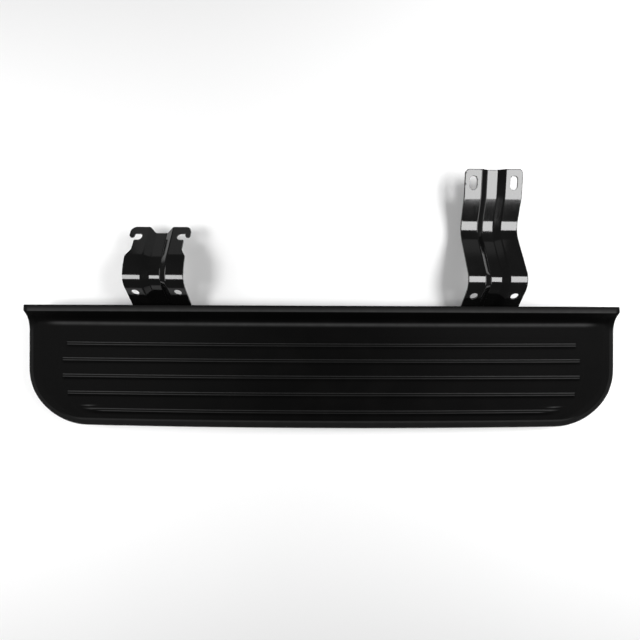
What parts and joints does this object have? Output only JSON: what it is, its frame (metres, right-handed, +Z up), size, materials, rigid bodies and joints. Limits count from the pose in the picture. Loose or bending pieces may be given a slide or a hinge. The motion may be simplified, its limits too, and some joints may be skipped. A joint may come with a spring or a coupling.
{
  "type": "running board step",
  "caption": "Long ribbed plastic foot step with a raised rear lip on a steel frame, carried by a hooked and a slotted pressed steel bracket.",
  "frame": {"origin": "on the tread's flat surface at mid-length, under its middle grip rib", "axes": "+X along the step, to the right of a person who faces the vehicle; +Y towards the vehicle; +Z up out of the tread"},
  "size_m": [1.071, 0.4695, 0.0815],
  "materials": {
    "grained_plastic": "fine moulded grain, satin black",
    "gloss_black_steel": "gloss black dip coat",
    "coated_frame_steel": "satin black powder coat",
    "zinc_steel": "clear zinc plating",
    "foam_tape": "closed-cell foam"
  },
  "bodies": {
    "root": {"step_shell": "grained_plastic", "front_rail": "coated_frame_steel", "rear_rail": "coated_frame_steel", "left_cross_member": "coated_frame_steel", "centre_cross_member": "coated_frame_steel", "right_cross_member": "coated_frame_steel", "hook_bracket": "gloss_black_steel", "slotted_bracket": "gloss_black_steel", "hook_foot_bolts": "zinc_steel", "hook_foot_spring_washers": "zinc_steel", "hook_foot_washers": "zinc_steel", "slotted_foot_bolts": "zinc_steel", "slotted_foot_spring_washers": "zinc_steel", "slotted_foot_washers": "zinc_steel", "front_rail_weld_nuts": "zinc_steel", "rear_rail_weld_nuts": "zinc_steel", "front_rail_screws": "zinc_steel", "rear_rail_screws": "zinc_steel", "front_rail_tape": "foam_tape", "rear_rail_tape": "foam_tape"}
  },
  "joints": []
}
